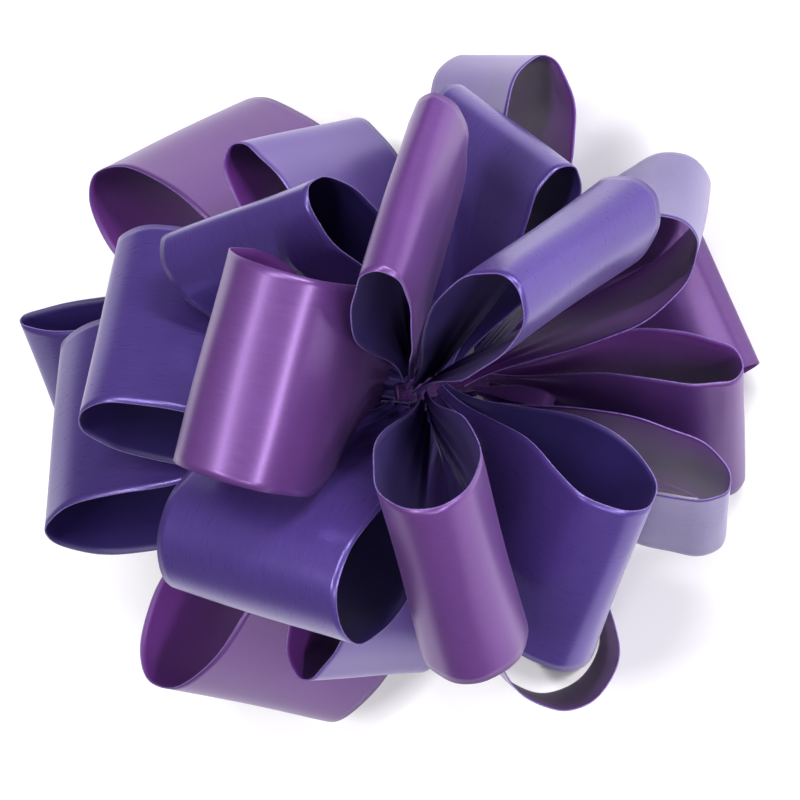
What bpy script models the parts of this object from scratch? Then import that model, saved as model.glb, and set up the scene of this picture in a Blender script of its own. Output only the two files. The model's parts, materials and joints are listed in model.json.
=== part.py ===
"""Pre-made gift bow: wide ribbon loops fanned out round a narrow tie, on an adhesive card.

Metres, +Z up. The origin is the centre of the release liner's underside. The front is -Y.
"""
import math
from collections import namedtuple

import bmesh
import bpy
import numpy as np

RIBBON_WIDTH = 0.0365
RIBBON_THICK = 0.0004
PINCHED_WIDTH = 0.22  # share of the ribbon's width left where a loop is pinched
PINCH_GAP = 0.0011  # between the two layers of a loop at its pinch
SPREAD_AT = 0.68  # share of the reach at which a loop has its whole width
LOOP_STEPS = 26
WIDTH_STEPS = 3

CARD_RADIUS = 0.016
PAD_RADIUS = 0.0145
LINER_THICK = 0.0003
PAD_THICK = 0.0018
CARD_THICK = 0.0008
GAP = 0.0003
TAB_LENGTH = 0.006
TAB_WIDTH = 0.009

FOOT_RADIUS = 0.0105
FOOT_NECK_RADIUS = 0.0022
FOOT_TOP = 0.0125
FOOT_PLEATS = 12

TIE_WIDTH = 0.0036
TIE_THICK = 0.0010
TIE_TOP = 0.058

DISC_SIDES = 48

VIOLET = (0.075, 0.045, 0.262, 1.0)
PLUM = (0.156, 0.053, 0.238, 1.0)
CARD_WHITE = (0.80, 0.79, 0.76, 1.0)
FOAM_WHITE = (0.86, 0.86, 0.84, 1.0)
LINER_TAN = (0.60, 0.44, 0.27, 1.0)

# A loop's pinch is at root_height, out from the axis by root_out and sideways by root_side.
# azimuth turns from the front towards +X, elevation rises from level, and roll turns the
# ribbon's width from level towards upright. Lengths in millimetres, angles in degrees.
Loop = namedtuple(
    "Loop",
    "name root_height azimuth elevation roll reach fullness root_out root_side colour",
)
LOOPS = (
    Loop("loop_low_back_right", 29, 138, -7, 66, 69, 20, 3.8, 1.0, PLUM),
    Loop("loop_low_back_left", 30.5, -141, -8, -63, 71, 21, 3.8, -0.5, PLUM),
    Loop("loop_side_back_right", 37.5, 116, -1, 81, 48, 10, 3.6, 0.0, PLUM),
    Loop("loop_side_back_left", 38.5, -118, 0, -82, 49, 10, 3.4, 0.5, PLUM),
    Loop("loop_back_low", 18.5, 176, -2, -32, 81, 10, 4.0, -1.0, VIOLET),
    Loop("loop_back_middle", 42, 181, 3, 34, 66, 18, 4.8, -1.0, VIOLET),
    Loop("loop_back_upper", 44, 160, 21, 41, 54, 16, 3.4, 0.5, VIOLET),
    Loop("loop_upper_back_right", 46.5, 116, 42, -25, 45, 11, 3.8, -0.5, VIOLET),
    Loop("loop_upper_back_left", 50, -121, 51, 12, 49, 22, 3.8, -0.5, VIOLET),
    Loop("loop_upper_side_right", 56, 52, 47, -68, 55, 10, 5.2, 0.5, PLUM),
    Loop("loop_upper_side_left", 54, -58, 48, 56, 55, 17, 4.6, 1.0, PLUM),
    Loop("loop_side_right", 22.5, 79, -5, -44, 51, 12, 4.4, -0.5, VIOLET),
    Loop("loop_side_left", 28, -84, -8, 62, 53, 20, 3.8, 0.0, VIOLET),
    Loop("loop_middle_front_right", 43, 60, 4, -31, 44, 10, 3.8, 0.5, VIOLET),
    Loop("loop_middle_front_left", 49, -48, 14, 24, 49, 16, 3.8, 0.5, VIOLET),
    Loop("loop_front_right", 37.5, 28, -8, -67, 51, 15, 3.4, -0.5, VIOLET),
    Loop("loop_front_left", 43, -32, -16, 63, 50, 11, 4.4, -1.0, VIOLET),
    Loop("loop_low_front_right", 16, 17, -17, 0, 38, 10, 4.0, 1.5, PLUM),
    Loop("loop_low_front_left", 29, -19, -16, 51, 44, 10, 4.0, 1.0, PLUM),
    Loop("loop_crown_front", 56, 24, 28, -80, 55, 13, 4.8, -1.0, VIOLET),
    Loop("loop_crown_back", 55, 135, 81, 21, 48, 22, 4.2, 0.5, PLUM),
)
TIE_END = Loop("tie_end", 35, -21, -9, -41, 14, 3.5, 3.9, 0.0, PLUM)


def clear_scene():
    for thing in list(bpy.data.objects):
        bpy.data.objects.remove(thing, do_unlink=True)


def material(name, colour, roughness):
    made = bpy.data.materials.new(name)
    made.use_nodes = True
    shader = made.node_tree.nodes["Principled BSDF"]
    shader.inputs["Base Color"].default_value = colour
    shader.inputs["Roughness"].default_value = roughness
    shader.inputs["Metallic"].default_value = 0.0
    return made


def add_object(name, mesh, colour, roughness):
    mesh.materials.append(material(name + "_material", colour, roughness))
    thing = bpy.data.objects.new(name, mesh)
    bpy.context.scene.collection.objects.link(thing)
    return thing


def mesh_from(name, build):
    shape = bmesh.new()
    build(shape)
    bmesh.ops.recalc_face_normals(shape, faces=shape.faces)
    mesh = bpy.data.meshes.new(name)
    shape.to_mesh(mesh)
    shape.free()
    return mesh


def ease(value):
    value = np.clip(value, 0.0, 1.0)
    return value * value * (3.0 - 2.0 * value)


def directions(loop):
    """The way a loop points, the way its ribbon's width runs, and the way it bulges."""
    azimuth, elevation, roll = np.radians([loop.azimuth, loop.elevation, loop.roll])
    out = np.array([math.sin(azimuth), -math.cos(azimuth), 0.0])
    level = np.array([math.cos(azimuth), math.sin(azimuth), 0.0])
    up = np.array([0.0, 0.0, 1.0])
    point = math.cos(elevation) * out + math.sin(elevation) * up
    rise = math.cos(elevation) * up - math.sin(elevation) * out
    width = math.cos(roll) * level + math.sin(roll) * rise
    return point, width, np.cross(width, point)


def pinch_point(loop):
    azimuth = math.radians(loop.azimuth)
    out = np.array([math.sin(azimuth), -math.cos(azimuth), 0.0])
    level = np.array([math.cos(azimuth), math.sin(azimuth), 0.0])
    up = np.array([0.0, 0.0, 1.0])
    return (loop.root_height * up + loop.root_out * out + loop.root_side * level) * 1e-3


def loop_surface(loop, round_share, across, ribbon_width):
    """The ribbon's middle surface: round_share runs 0..1 round the loop, across -0.5..0.5."""
    point, width, bulge = directions(loop)
    angle = 2.0 * math.pi * round_share
    along = (1.0 - np.cos(angle)) / 2.0
    swell = 1.54 * np.sin(angle) * np.sin(angle / 2.0) ** 2
    spread = PINCHED_WIDTH + (1.0 - PINCHED_WIDTH) * ease(along / SPREAD_AT) ** 0.9
    forward = loop.reach * 1e-3 * along
    sideways = loop.fullness * 0.5e-3 * swell + PINCH_GAP / 2.0 * np.cos(angle / 2.0)
    lateral = across * ribbon_width * spread
    return (
        pinch_point(loop)
        + forward[..., None] * point
        + sideways[..., None] * bulge
        + lateral[..., None] * width
    )


def ribbon_loop(loop, ribbon_width, thickness, steps, width_steps):
    round_share, across = np.meshgrid(
        np.linspace(0.0, 1.0, steps + 1),
        np.linspace(-0.5, 0.5, width_steps + 1),
        indexing="ij",
    )
    points = loop_surface(loop, round_share, across, ribbon_width).reshape(-1, 3)
    row = width_steps + 1
    faces = [
        (i * row + j, (i + 1) * row + j, (i + 1) * row + j + 1, i * row + j + 1)
        for i in range(steps)
        for j in range(width_steps)
    ]
    mesh = bpy.data.meshes.new(loop.name)
    mesh.from_pydata(points.tolist(), [], faces)
    mesh.shade_smooth()
    thing = add_object(loop.name, mesh, loop.colour, 0.32)
    solidify = thing.modifiers.new("thickness", "SOLIDIFY")
    solidify.thickness = thickness
    solidify.offset = 0.0
    return thing


def extrude_outline(name, outline, bottom, top, colour, roughness):
    def build(shape):
        face = shape.faces.new([shape.verts.new((x, y, bottom)) for x, y in outline])
        made = bmesh.ops.extrude_face_region(shape, geom=[face])
        raised = [v for v in made["geom"] if isinstance(v, bmesh.types.BMVert)]
        bmesh.ops.translate(shape, verts=raised, vec=(0.0, 0.0, top - bottom))

    return add_object(name, mesh_from(name, build), colour, roughness)


def disc_outline(radius):
    turns = [2.0 * math.pi * k / DISC_SIDES for k in range(DISC_SIDES)]
    return [(radius * math.cos(turn), radius * math.sin(turn)) for turn in turns]


def tabbed_outline(radius):
    """A disc with a round-ended pull tab at the back."""
    half = math.asin(TAB_WIDTH / 2.0 / radius)
    start = math.pi / 2.0 + half
    sweep = 2.0 * math.pi - 2.0 * half
    outline = []
    for k in range(DISC_SIDES + 1):
        turn = start + sweep * k / DISC_SIDES
        outline.append((radius * math.cos(turn), radius * math.sin(turn)))
    tab_y = radius + TAB_LENGTH - TAB_WIDTH / 2.0
    for k in range(9):
        turn = math.pi * k / 8.0
        outline.append(
            (TAB_WIDTH / 2.0 * math.cos(turn), tab_y + TAB_WIDTH / 2.0 * math.sin(turn))
        )
    return outline


def make_base():
    """The release liner, the foam pad above it and the backing card on top."""
    pad_bottom = LINER_THICK + GAP
    card_bottom = pad_bottom + PAD_THICK + GAP
    card_top = card_bottom + CARD_THICK
    extrude_outline(
        "release_liner", tabbed_outline(CARD_RADIUS), 0.0, LINER_THICK, LINER_TAN, 0.5
    )
    extrude_outline(
        "foam_pad", disc_outline(PAD_RADIUS), pad_bottom, pad_bottom + PAD_THICK, FOAM_WHITE, 0.9
    )
    extrude_outline(
        "backing_card", disc_outline(CARD_RADIUS), card_bottom, card_top, CARD_WHITE, 0.7
    )
    return card_top + GAP


def make_foot(bottom):
    """The gathered ribbon ends that stand on the card and narrow up to the tie."""
    levels = 5
    sides = FOOT_PLEATS * 4

    def build(shape):
        rings = []
        for level in range(levels + 1):
            share = level / levels
            radius = FOOT_RADIUS + (FOOT_NECK_RADIUS - FOOT_RADIUS) * ease(share)
            pleat = 0.09 * radius * (1.0 - 0.7 * share)
            ring = []
            for k in range(sides):
                turn = 2.0 * math.pi * k / sides
                reach = radius + pleat * math.cos(FOOT_PLEATS * turn)
                height = bottom + (FOOT_TOP - bottom) * share
                ring.append(
                    shape.verts.new((reach * math.cos(turn), reach * math.sin(turn), height))
                )
            rings.append(ring)
        for low, high in zip(rings, rings[1:]):
            for k in range(sides):
                following = (k + 1) % sides
                shape.faces.new((low[k], low[following], high[following], high[k]))
        shape.faces.new(rings[0][::-1])
        shape.faces.new(rings[-1])

    add_object("ribbon_foot", mesh_from("ribbon_foot", build), PLUM, 0.35)


def make_tie():
    """The narrow ribbon that runs up through the pinches."""
    half_width = TIE_WIDTH / 2.0
    half_thick = TIE_THICK / 2.0
    turns = [2.0 * math.pi * k / 16 for k in range(16)]
    outline = [(half_width * math.cos(turn), half_thick * math.sin(turn)) for turn in turns]
    extrude_outline("tie_ribbon", outline, FOOT_TOP + GAP, TIE_TOP, PLUM, 0.35)


def main():
    clear_scene()
    foot_bottom = make_base()
    make_foot(foot_bottom)
    make_tie()
    for loop in LOOPS:
        ribbon_loop(loop, RIBBON_WIDTH, RIBBON_THICK, LOOP_STEPS, WIDTH_STEPS)
    ribbon_loop(TIE_END, TIE_WIDTH, RIBBON_THICK, 16, 1)


main()
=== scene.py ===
"""Looks of a pre-made gift bow: satin ribbon loops, their tie and their adhesive base."""
import json
import math
from collections import namedtuple

import bpy
import numpy as np
from mathutils import Matrix, Vector

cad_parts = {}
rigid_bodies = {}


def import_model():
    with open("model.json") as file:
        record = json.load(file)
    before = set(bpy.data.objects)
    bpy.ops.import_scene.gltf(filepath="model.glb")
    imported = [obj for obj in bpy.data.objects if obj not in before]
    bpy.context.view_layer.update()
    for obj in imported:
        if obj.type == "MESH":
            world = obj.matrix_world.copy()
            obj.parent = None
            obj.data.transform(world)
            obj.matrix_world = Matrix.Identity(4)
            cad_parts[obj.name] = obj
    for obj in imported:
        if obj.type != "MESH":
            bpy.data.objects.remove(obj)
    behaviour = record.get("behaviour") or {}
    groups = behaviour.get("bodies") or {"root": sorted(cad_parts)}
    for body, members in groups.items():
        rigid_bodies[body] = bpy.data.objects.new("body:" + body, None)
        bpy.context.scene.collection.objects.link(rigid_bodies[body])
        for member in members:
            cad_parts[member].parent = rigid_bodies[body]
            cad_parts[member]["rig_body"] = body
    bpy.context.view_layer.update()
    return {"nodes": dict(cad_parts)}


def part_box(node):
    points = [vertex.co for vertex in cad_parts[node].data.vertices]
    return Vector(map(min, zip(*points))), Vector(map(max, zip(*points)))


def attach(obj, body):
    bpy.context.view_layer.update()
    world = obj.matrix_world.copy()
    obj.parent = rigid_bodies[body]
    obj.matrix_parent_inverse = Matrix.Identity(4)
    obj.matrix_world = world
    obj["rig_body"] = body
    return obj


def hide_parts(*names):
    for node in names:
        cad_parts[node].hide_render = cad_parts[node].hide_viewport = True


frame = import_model()

# ---------------------------------------------------------------- ribbon, as the CAD has it
RIBBON_WIDTH = 0.0365
PINCHED_WIDTH = 0.22  # share of the ribbon's width left where a loop is pinched
PINCH_GAP = 0.0011  # between the two layers of a loop at its pinch
SPREAD_AT = 0.68  # share of the reach at which a loop has its whole width
SPREAD_POWER = 0.9
SWELL_SCALE = 1.54  # brings the swell's peak to 1
TIE_WIDTH = 0.0036

# ---------------------------------------------------------------- ribbon, as it looks
SATIN_THICK = 0.00022
LOOP_STEPS = 132
WIDTH_STEPS = 26
TIE_END_STEPS = 60
TIE_END_WIDTH_STEPS = 8
LENGTH_POINTS = 400  # points on a loop's line when its length is measured
GATHERED = 1.0  # share of the pleats, waves and ripples that a ribbon shows
SMOOTH = 0.0
PLEAT_DEPTH = 0.00038
PLEATS = 3.5
PLEATS_END_AT = 0.5  # share of the reach where the gathers have opened out
WAVE_DEPTH = 0.00022
WAVES_ROUND = 1.3
WAVES_ACROSS = 0.8
RIPPLE_DEPTH = 0.00026
RIPPLES_ROUND = 5.3
RIPPLES_ACROSS = 0.25
FINE_RIPPLES_ROUND = 11.7
FINE_RIPPLE_SHARE = 0.5

# Lengths in millimetres, angles in degrees. phase shifts a loop's small waves. The rows repeat
# part.py's: a separate search program found their lengths and angles, and they weren't set by
# hand.
# outer and inner choose each face's tone, with its painted sheen or painted shade.
Loop = namedtuple(
    "Loop",
    "name root_height azimuth elevation roll reach fullness root_out root_side outer inner phase",
)
LOOPS = (
    Loop("loop_low_back_right", 29, 138, -7, 66, 69, 20, 3.8, 1.0, "plum", "magenta", 0.1),
    Loop("loop_low_back_left", 30.5, -141, -8, -63, 71, 21, 3.8, -0.5, "plum", "magenta", 0.5),
    Loop("loop_side_back_right", 37.5, 116, -1, 81, 48, 10, 3.6, 0.0, "lilac", "magenta", 0.9),
    Loop("loop_side_back_left", 38.5, -118, 0, -82, 49, 10, 3.4, 0.5, "lilac", "magenta", 0.3),
    Loop("loop_back_low", 18.5, 176, -2, -32, 81, 10, 4.0, -1.0, "violet", "navy", 0.7),
    Loop("loop_back_middle", 42, 181, 3, 34, 66, 18, 4.8, -1.0, "violet", "navy", 0.2),
    Loop("loop_back_upper", 44, 160, 21, 41, 54, 16, 3.4, 0.5, "violet", "navy", 0.6),
    Loop("loop_upper_back_right", 46.5, 116, 42, -25, 45, 11, 3.8, -0.5, "violet", "navy", 0.4),
    Loop("loop_upper_back_left", 50, -121, 51, 12, 49, 22, 3.8, -0.5, "violet", "navy", 0.8),
    Loop("loop_upper_side_right", 56, 52, 47, -68, 55, 10, 5.2, 0.5, "plum", "navy", 0.0),
    Loop("loop_upper_side_left", 54, -58, 48, 56, 55, 17, 4.6, 1.0, "plum", "navy", 0.35),
    Loop("loop_side_right", 22.5, 79, -5, -44, 51, 12, 4.4, -0.5, "lilac", "magenta", 0.55),
    Loop("loop_side_left", 28, -84, -8, 62, 53, 20, 3.8, 0.0, "lilac", "magenta", 0.15),
    Loop("loop_middle_front_right", 43, 60, 4, -31, 44, 10, 3.8, 0.5, "violet", "navy", 0.75),
    Loop("loop_middle_front_left", 49, -48, 14, 24, 49, 16, 3.8, 0.5, "violet", "navy", 0.25),
    Loop("loop_front_right", 37.5, 28, -8, -67, 51, 15, 3.4, -0.5, "violet", "magenta", 0.65),
    Loop("loop_front_left", 43, -32, -16, 63, 50, 11, 4.4, -1.0, "violet", "magenta", 0.05),
    Loop("loop_low_front_right", 16, 17, -17, 0, 38, 10, 4.0, 1.5, "plum", "magenta", 0.45),
    Loop("loop_low_front_left", 29, -19, -16, 51, 44, 10, 4.0, 1.0, "plum", "magenta", 0.85),
    Loop("loop_crown_front", 56, 24, 28, -80, 55, 13, 4.8, -1.0, "violet", "navy", 0.3),
    Loop("loop_crown_back", 55, 135, 81, 21, 48, 22, 4.2, 0.5, "plum", "magenta", 0.6),
)
TIE_END = Loop("tie_end", 35, -21, -9, -41, 14, 3.5, 3.9, 0.0, "plum", "magenta", 0.0)

# Linear colours: in the light, and in the ribbon's darker threads. The tones are one purple satin
# with its light and shade painted in.
TONES = {
    # Painted sheen: the three outer tones, bluish, reddish and a lighter lavender, paint the satin's
    # sheen as each loop's outer face caught it.
    "violet": ((0.078, 0.045, 0.235, 1.0), (0.054, 0.030, 0.175, 1.0)),
    "lilac": ((0.110, 0.066, 0.270, 1.0), (0.082, 0.048, 0.215, 1.0)),
    "plum": ((0.125, 0.045, 0.205, 1.0), (0.092, 0.031, 0.158, 1.0)),
    # Painted shade: the two inner tones paint the shade inside the loops, a reddish purple where
    # light bounced between the loops and a deep navy where it is darkest.
    "magenta": ((0.130, 0.028, 0.220, 1.0), (0.090, 0.018, 0.160, 1.0)),
    "navy": ((0.026, 0.014, 0.115, 1.0), (0.017, 0.009, 0.080, 1.0)),
}
RIM_DARK = (0.085, 0.050, 0.210, 1.0)
RIM_TONE = (0.180, 0.120, 0.340, 1.0)

# Roughness and metal of each satin.
FINISHES = {
    "violet": (0.27, 0.35),
    "lilac": (0.31, 0.35),
    "plum": (0.31, 0.35),
    "magenta": (0.48, 0.1),
    "navy": (0.48, 0.1),
}
# Grain per metre along the ribbon and across it.
THREAD_SCALE = (330.0, 4400.0, 1.0)
STREAK_SCALE = (120.0, 2000.0, 1.0)
CLOUD_SCALE = (60.0, 60.0, 1.0)
STITCH_SCALE = (1800.0, 1800.0, 1.0)
THREAD_SHARE = 0.6  # of the threads, where they mix with the streaks
CLOUD_SHARE = 0.35

# ---------------------------------------------------------------- foot, tie and foam, as they look
FOOT_NECK = 0.0021  # radius at the top, before the folds
FOOT_INSET = 0.0024
FOOT_FLARE = 1.8
FOOT_FOLDS = 12.0
FOOT_CREASES = 31.0
FOOT_STEPS = 28
FOOT_SIDES = 216
TIE_STEPS = 90
TIE_SIDES = 72
FOAM_HOLLOW = 0.035  # share of the radius by which the disc's edge is hollow
FOAM_STEPS = 10
FOAM_SIDES = 240
UV_PER_STEP = 0.0004
UV_PER_TURN = 0.008

# ---------------------------------------------------------------- floor, camera and lights
FLOOR_HALF = 3.0
FLOOR_DROP = 0.0002
VIEW_ELEVATION = math.radians(65.0)
VIEW_ROLL = math.radians(8.6)
VIEW_WIDTH = 0.136
VIEW_DISTANCE = 2.4
SENSOR = 0.036
AIM = Vector((0.0, 0.0, 0.028))
AIM_RIGHT = -0.0119
AIM_UP = -0.0031

LIGHT_AIM = Vector((0.0, 0.0, 0.04))
STRIP_SIZE = (0.06, 0.34)
STRIP_BACK = 0.62  # metres from the aim towards the camera
STRIP_COLOUR = (1.0, 0.985, 1.0)
WORLD_COLOUR = (0.95, 0.95, 1.0, 1.0)
WORLD_STRENGTH = 0.17

# Soft boxes round the camera: name, bearing in degrees (0 is the view's right, 90 its top),
# metres off the camera's axis, watts.
STRIPS = (
    ("top", 75.0, 0.50, 4.2),
    ("top_left", 140.0, 0.34, 2.6),
    ("left", 195.0, 0.60, 3.2),
    ("bottom", 265.0, 0.50, 1.6),
    ("bottom_right", 325.0, 0.30, 2.6),
    ("right", 20.0, 0.60, 2.2),
)


def ease(value):
    value = np.clip(value, 0.0, 1.0)
    return value * value * (3.0 - 2.0 * value)


def directions(loop):
    """The way a loop points, the way its ribbon's width runs, and the way it bulges."""
    azimuth, elevation, roll = np.radians([loop.azimuth, loop.elevation, loop.roll])
    out = np.array([math.sin(azimuth), -math.cos(azimuth), 0.0])
    level = np.array([math.cos(azimuth), math.sin(azimuth), 0.0])
    up = np.array([0.0, 0.0, 1.0])
    point = math.cos(elevation) * out + math.sin(elevation) * up
    rise = math.cos(elevation) * up - math.sin(elevation) * out
    width = math.cos(roll) * level + math.sin(roll) * rise
    return point, width, np.cross(width, point)


def pinch_point(loop):
    azimuth = math.radians(loop.azimuth)
    out = np.array([math.sin(azimuth), -math.cos(azimuth), 0.0])
    level = np.array([math.cos(azimuth), math.sin(azimuth), 0.0])
    up = np.array([0.0, 0.0, 1.0])
    return (loop.root_height * up + loop.root_out * out + loop.root_side * level) * 1e-3


def loop_surface(loop, round_share, across, ribbon_width, gathers):
    """The ribbon's middle surface: round_share runs 0..1 round the loop, across -0.5..0.5."""
    point, width, bulge = directions(loop)
    angle = 2.0 * math.pi * round_share
    along = (1.0 - np.cos(angle)) / 2.0
    swell = SWELL_SCALE * np.sin(angle) * np.sin(angle / 2.0) ** 2
    spread = PINCHED_WIDTH + (1.0 - PINCHED_WIDTH) * ease(along / SPREAD_AT) ** SPREAD_POWER
    forward = loop.reach * 1e-3 * along
    sideways = loop.fullness * 0.5e-3 * swell + PINCH_GAP / 2.0 * np.cos(angle / 2.0)
    pleat = np.cos(2.0 * math.pi * (PLEATS * across + loop.phase))
    sideways = sideways + gathers * PLEAT_DEPTH * pleat * (1.0 - ease(along / PLEATS_END_AT))
    turns = WAVES_ROUND * round_share + WAVES_ACROSS * across + loop.phase
    wave = np.sin(2.0 * math.pi * turns)
    sideways = sideways + gathers * WAVE_DEPTH * wave * ease(along)
    turns = RIPPLES_ROUND * round_share + loop.phase + RIPPLES_ACROSS * across
    ripple = np.sin(2.0 * math.pi * turns)
    turns = FINE_RIPPLES_ROUND * round_share - 2.0 * loop.phase
    ripple = ripple + FINE_RIPPLE_SHARE * np.sin(2.0 * math.pi * turns)
    sideways = sideways + gathers * RIPPLE_DEPTH * ripple * ease(along)
    lateral = across * ribbon_width * spread
    return (
        pinch_point(loop)
        + forward[..., None] * point
        + sideways[..., None] * bulge
        + lateral[..., None] * width
    )


def ribbon_length(loop):
    share = np.linspace(0.0, 1.0, LENGTH_POINTS)
    points = loop_surface(loop, share, np.zeros_like(share), RIBBON_WIDTH, 0.0)
    return float(np.linalg.norm(np.diff(points, axis=0), axis=1).sum())


# ---------------------------------------------------------------- materials
def new_material(name):
    made = bpy.data.materials.new(name)
    made.use_nodes = True
    return made, made.node_tree.nodes["Principled BSDF"]


def link(tree, source, socket, target, target_socket):
    tree.links.new(source.outputs[socket], target.inputs[target_socket])


def scaled(tree, source, socket, scale):
    mapping = tree.nodes.new("ShaderNodeMapping")
    mapping.inputs["Scale"].default_value = scale
    link(tree, source, socket, mapping, "Vector")
    return mapping


def noise(tree, vector, detail, roughness=0.5):
    made = tree.nodes.new("ShaderNodeTexNoise")
    made.inputs["Scale"].default_value = 1.0
    made.inputs["Detail"].default_value = detail
    made.inputs["Roughness"].default_value = roughness
    link(tree, vector, "Vector", made, "Vector")
    return made


def ramp(tree, source, stops):
    made = tree.nodes.new("ShaderNodeValToRGB")
    made.color_ramp.elements[0].position = stops[0][0]
    made.color_ramp.elements[0].color = stops[0][1]
    made.color_ramp.elements[1].position = stops[-1][0]
    made.color_ramp.elements[1].color = stops[-1][1]
    for position, colour in stops[1:-1]:
        made.color_ramp.elements.new(position).color = colour
    link(tree, source[0], source[1], made, "Fac")
    return made


def grey(value):
    return (value, value, value, 1.0)


def satin(name, tone, dark, roughness, metal):
    """Satin: threads run along the ribbon, and the light spreads across them.

    The UV map is in metres, x along the ribbon and y across it.
    """
    made, shader = new_material(name)
    tree = made.node_tree
    uv = tree.nodes.new("ShaderNodeUVMap")
    uv.uv_map = "ribbon"
    threads = noise(tree, scaled(tree, uv, "UV", THREAD_SCALE), 3.0, 0.65)
    streaks = noise(tree, scaled(tree, uv, "UV", STREAK_SCALE), 4.0, 0.7)
    clouds = noise(tree, scaled(tree, uv, "UV", CLOUD_SCALE), 2.0)
    mixed = tree.nodes.new("ShaderNodeMix")
    mixed.inputs["Factor"].default_value = THREAD_SHARE
    link(tree, streaks, "Fac", mixed, "A")
    link(tree, threads, "Fac", mixed, "B")
    colour = ramp(tree, (mixed, "Result"), ((0.22, dark), (0.78, tone)))
    shade = tree.nodes.new("ShaderNodeMix")
    shade.data_type = "RGBA"
    shade.blend_type = "MULTIPLY"
    shade.inputs["Factor"].default_value = CLOUD_SHARE
    link(tree, colour, "Color", shade, "A")
    cloud_tone = ramp(tree, (clouds, "Fac"), ((0.3, grey(0.7)), (0.7, grey(1.0))))
    link(tree, cloud_tone, "Color", shade, "B")
    link(tree, shade, "Result", shader, "Base Color")
    rough = tree.nodes.new("ShaderNodeMapRange")
    rough.inputs["To Min"].default_value = roughness - 0.06
    rough.inputs["To Max"].default_value = roughness + 0.10
    link(tree, mixed, "Result", rough, "Value")
    link(tree, rough, "Result", shader, "Roughness")
    bump = tree.nodes.new("ShaderNodeBump")
    bump.inputs["Strength"].default_value = 0.16
    bump.inputs["Distance"].default_value = 0.0001
    link(tree, threads, "Fac", bump, "Height")
    link(tree, bump, "Normal", shader, "Normal")
    tangent = tree.nodes.new("ShaderNodeTangent")
    tangent.direction_type = "UV_MAP"
    tangent.uv_map = "ribbon"
    link(tree, tangent, "Tangent", shader, "Tangent")
    shader.inputs["Anisotropic"].default_value = 0.35
    shader.inputs["Metallic"].default_value = metal
    shader.inputs["Specular IOR Level"].default_value = 0.55
    shader.inputs["Sheen Weight"].default_value = 0.08
    shader.inputs["Sheen Roughness"].default_value = 0.35
    shader.inputs["Sheen Tint"].default_value = (0.62, 0.45, 1.0, 1.0)
    return made


def rim_satin():
    """The woven edge, where the threads' cut ends catch the light."""
    made, shader = new_material("ribbon_edge")
    tree = made.node_tree
    uv = tree.nodes.new("ShaderNodeUVMap")
    uv.uv_map = "ribbon"
    stitches = noise(tree, scaled(tree, uv, "UV", STITCH_SCALE), 2.0)
    tone = ramp(tree, (stitches, "Fac"), ((0.3, RIM_DARK), (0.7, RIM_TONE)))
    link(tree, tone, "Color", shader, "Base Color")
    shader.inputs["Roughness"].default_value = 0.5
    return made


def paper(name, tone, dark, scale, roughness):
    """Paper, board or foam: a fine mottle and a matching bump."""
    made, shader = new_material(name)
    tree = made.node_tree
    place = tree.nodes.new("ShaderNodeTexCoord")
    fibres = noise(tree, scaled(tree, place, "Object", (scale, scale, scale)), 5.0, 0.6)
    colour = ramp(tree, (fibres, "Fac"), ((0.3, dark), (0.7, tone)))
    link(tree, colour, "Color", shader, "Base Color")
    bump = tree.nodes.new("ShaderNodeBump")
    bump.inputs["Strength"].default_value = 0.3
    bump.inputs["Distance"].default_value = 0.0001
    link(tree, fibres, "Fac", bump, "Height")
    link(tree, bump, "Normal", shader, "Normal")
    shader.inputs["Roughness"].default_value = roughness
    return made


def make_satins():
    made = {}
    for name, (tone, dark) in TONES.items():
        roughness, metal = FINISHES[name]
        made[name] = satin("satin_" + name, tone, dark, roughness, metal)
    made["edge"] = rim_satin()
    return made


# ---------------------------------------------------------------- pieces
def grid_mesh(name, points, uvs):
    rows, columns = points.shape[:2]
    corners = [row * columns + column for row in range(rows - 1) for column in range(columns - 1)]
    faces = [(first, first + columns, first + columns + 1, first + 1) for first in corners]
    mesh = bpy.data.meshes.new(name)
    mesh.from_pydata(points.reshape(-1, 3).tolist(), [], faces)
    layer = mesh.uv_layers.new(name="ribbon")
    flat = uvs.reshape(-1, 2)
    for corner in mesh.loops:
        layer.data[corner.index].uv = flat[corner.vertex_index]
    mesh.shade_smooth()
    return mesh


def solid_sheet(piece, thickness):
    """Gives a sheet its thickness, its inner face material 1 and its edges material 2."""
    solidify = piece.modifiers.new("thickness", "SOLIDIFY")
    solidify.thickness = thickness
    solidify.offset = 0.0
    solidify.use_even_offset = False
    solidify.material_offset = 1
    solidify.material_offset_rim = 2


def add_piece(name, mesh, materials):
    for material in materials:
        mesh.materials.append(material)
    piece = bpy.data.objects.new(name, mesh)
    bpy.context.scene.collection.objects.link(piece)
    return piece


def body_of(node):
    return frame["nodes"][node]["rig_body"]


def ribbon_piece(loop, satins, ribbon_width, steps, width_steps, gathers):
    share, across = np.meshgrid(
        np.linspace(0.0, 1.0, steps + 1),
        np.linspace(-0.5, 0.5, width_steps + 1),
        indexing="ij",
    )
    points = loop_surface(loop, share, across, ribbon_width, gathers)
    length = ribbon_length(loop)
    uvs = np.stack([share * length + loop.phase, across * ribbon_width], axis=-1)
    mesh = grid_mesh(loop.name + "_satin", points, uvs)
    materials = [satins[loop.inner], satins[loop.outer], satins["edge"]]
    piece = add_piece(loop.name + "_satin", mesh, materials)
    solid_sheet(piece, SATIN_THICK)
    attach(piece, body_of(loop.name))
    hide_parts(loop.name)
    return piece


def make_loops(satins):
    for loop in LOOPS:
        piece = ribbon_piece(loop, satins, RIBBON_WIDTH, LOOP_STEPS, WIDTH_STEPS, GATHERED)
    piece = ribbon_piece(TIE_END, satins, TIE_WIDTH, TIE_END_STEPS, TIE_END_WIDTH_STEPS, SMOOTH)


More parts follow.
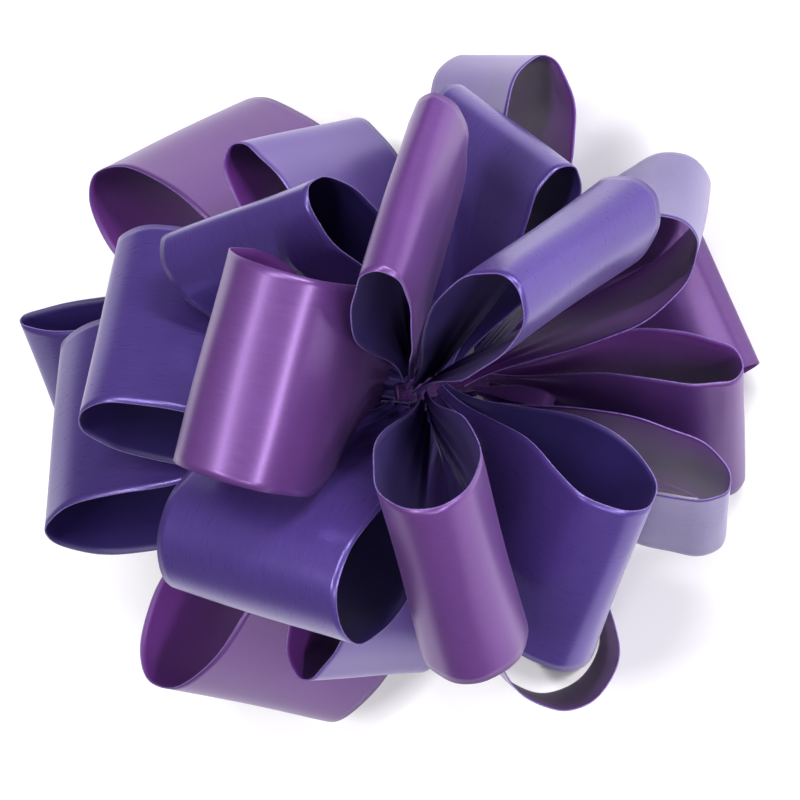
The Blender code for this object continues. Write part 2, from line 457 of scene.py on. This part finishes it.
def turned_piece(name, profile, radius_at, material, sides):
    """A closed turned body: profile gives (share of the radius, height), radius_at(turn, height)."""
    turns = np.linspace(0.0, 2.0 * math.pi, sides, endpoint=False)
    points = []
    uvs = []
    for step, (share, height) in enumerate(profile):
        for turn in turns:
            radius = share * radius_at(turn, height)
            points.append((radius * math.cos(turn), radius * math.sin(turn), height))
            uvs.append((height + UV_PER_STEP * step, turn * UV_PER_TURN))
    faces = []
    for row in range(len(profile) - 1):
        for side in range(sides):
            first = row * sides + side
            second = row * sides + (side + 1) % sides
            faces.append((first, second, second + sides, first + sides))
    faces.append(tuple(reversed(range(sides))))
    faces.append(tuple(range(len(points) - sides, len(points))))
    mesh = bpy.data.meshes.new(name)
    mesh.from_pydata(points, [], faces)
    layer = mesh.uv_layers.new(name="ribbon")
    for corner in mesh.loops:
        layer.data[corner.index].uv = uvs[corner.vertex_index]
    mesh.shade_smooth()
    return add_piece(name, mesh, [material])


def make_foot(satins):
    """The wide ribbon's gathered ends, spread into pleats where they meet the card."""
    low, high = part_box("ribbon_foot")
    bottom, top = low.z, high.z
    wide = (high.x - low.x) / 2.0

    def radius_at(turn, height):
        rise = (height - bottom) / (top - bottom)
        body = FOOT_NECK + (wide - FOOT_INSET) * (1.0 - rise) ** FOOT_FLARE
        fold = math.cos(FOOT_FOLDS * turn + 0.5 * math.sin(3.0 * turn))
        crease = math.cos(FOOT_CREASES * turn + 1.3)
        return body * (0.93 + 0.06 * fold + 0.012 * crease)

    profile = [(0.97, bottom)]
    for step in range(FOOT_STEPS + 1):
        profile.append((1.0, bottom + (top - bottom) * (0.02 + 0.96 * step / FOOT_STEPS)))
    profile += [(0.9, top)]
    foot = turned_piece("gathered_foot", profile, radius_at, satins["plum"], FOOT_SIDES)
    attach(foot, body_of("ribbon_foot"))
    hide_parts("ribbon_foot")


def make_tie(satins):
    """The narrow ribbon, folded on itself, that holds every pinch."""
    low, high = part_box("tie_ribbon")
    half_width = (high.x - low.x) / 2.0
    half_thick = (high.y - low.y) / 2.0

    def radius_at(turn, height):
        flat = 1.0 / math.hypot(math.cos(turn) / half_width, math.sin(turn) / half_thick)
        folds = 0.93 + 0.05 * math.cos(8.0 * turn + 260.0 * height)
        return flat * folds * (0.97 + 0.03 * math.cos(1450.0 * height))

    span = high.z - low.z
    profile = [(0.8, low.z)]
    for step in range(TIE_STEPS + 1):
        profile.append((1.0, low.z + span * (0.006 + 0.988 * step / TIE_STEPS)))
    profile += [(0.8, high.z)]
    tie = turned_piece("tie_bundle", profile, radius_at, satins["plum"], TIE_SIDES)
    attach(tie, body_of("tie_ribbon"))
    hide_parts("tie_ribbon")


def make_foam(material):
    """The adhesive foam disc, die-cut, so its edge is a little hollow and rough."""
    low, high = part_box("foam_pad")
    radius = (high.x - low.x) / 2.0

    def radius_at(turn, height):
        rough = 0.0035 * math.cos(23.0 * turn) + 0.0025 * math.cos(57.0 * turn + 900.0 * height)
        return radius * (0.992 + rough)

    span = high.z - low.z
    profile = [(0.3, low.z), (0.97, low.z)]
    for step in range(FOAM_STEPS + 1):
        rise = step / FOAM_STEPS
        share = 1.0 - FOAM_HOLLOW * math.sin(math.pi * rise)
        profile.append((share, low.z + span * (0.04 + 0.92 * rise)))
    profile += [(0.97, high.z), (0.3, high.z)]
    pad = turned_piece("foam_disc", profile, radius_at, material, FOAM_SIDES)
    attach(pad, body_of("foam_pad"))
    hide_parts("foam_pad")


def finish_base():
    board = paper("card_board", (0.84, 0.82, 0.78, 1.0), (0.74, 0.72, 0.68, 1.0), 900.0, 0.75)
    kraft = paper("kraft_paper", (0.62, 0.46, 0.29, 1.0), (0.50, 0.35, 0.20, 1.0), 1300.0, 0.45)
    for node, material in (("backing_card", board), ("release_liner", kraft)):
        for holder in frame["nodes"][node].material_slots:
            holder.material = material
    make_foam(paper("foam", (0.88, 0.88, 0.86, 1.0), (0.66, 0.66, 0.64, 1.0), 2600.0, 0.95))


def make_floor():
    mesh = bpy.data.meshes.new("floor")
    half = FLOOR_HALF
    mesh.from_pydata(
        [(-half, -half, 0.0), (half, -half, 0.0), (half, half, 0.0), (-half, half, 0.0)],
        [],
        [(0, 1, 2, 3)],
    )
    made, shader = new_material("floor_white")
    shader.inputs["Base Color"].default_value = (0.96, 0.96, 0.965, 1.0)
    shader.inputs["Roughness"].default_value = 0.9
    floor = add_piece("floor", mesh, [made])
    floor.location.z = -FLOOR_DROP


def strip_light(name, place, aim, upright, size, power):
    """A soft box whose long side stands along upright."""
    data = bpy.data.lights.new(name, "AREA")
    data.shape = "RECTANGLE"
    data.size, data.size_y = size
    data.energy = power
    data.color = STRIP_COLOUR
    light = bpy.data.objects.new(name, data)
    bpy.context.scene.collection.objects.link(light)
    behind = (place - aim).normalized()
    side = upright.cross(behind).normalized()
    turn = Matrix((side, behind.cross(side), behind)).transposed().to_4x4()
    light.matrix_world = Matrix.Translation(place) @ turn


def camera_axes():
    lift = math.sin(VIEW_ELEVATION)
    fall = math.cos(VIEW_ELEVATION)
    level = Vector((0.0, -lift, -fall))
    side = Vector((1.0, 0.0, 0.0))
    right = math.cos(VIEW_ROLL) * level - math.sin(VIEW_ROLL) * side
    up = math.sin(VIEW_ROLL) * level + math.cos(VIEW_ROLL) * side
    back = Vector((0.0, -fall, lift))
    return right, up, back


def make_camera():
    right, up, back = camera_axes()
    data = bpy.data.cameras.new("camera")
    data.sensor_width = SENSOR * 1000.0
    data.lens = VIEW_DISTANCE / VIEW_WIDTH * SENSOR * 1000.0
    camera = bpy.data.objects.new("camera", data)
    bpy.context.scene.collection.objects.link(camera)
    aim = AIM + AIM_RIGHT * right + AIM_UP * up
    place = aim + VIEW_DISTANCE * back
    turn = Matrix((right, up, back)).transposed().to_4x4()
    camera.matrix_world = Matrix.Translation(place) @ turn
    bpy.context.scene.camera = camera


def make_lights():
    right, up, back = camera_axes()
    for name, bearing, lean, power in STRIPS:
        angle = math.radians(bearing)
        aside = math.cos(angle) * right + math.sin(angle) * up
        along = math.cos(angle) * up - math.sin(angle) * right
        place = LIGHT_AIM + STRIP_BACK * back + lean * aside
        strip_light(name, place, LIGHT_AIM, along, STRIP_SIZE, power)
    world = bpy.data.worlds.new("studio")
    world.use_nodes = True
    background = world.node_tree.nodes["Background"]
    background.inputs["Color"].default_value = WORLD_COLOUR
    background.inputs["Strength"].default_value = WORLD_STRENGTH
    bpy.context.scene.world = world
    bpy.context.scene.view_settings.view_transform = "Standard"


make_camera()
make_floor()
make_lights()
SATINS = make_satins()
make_loops(SATINS)
make_foot(SATINS)
make_tie(SATINS)
finish_base()
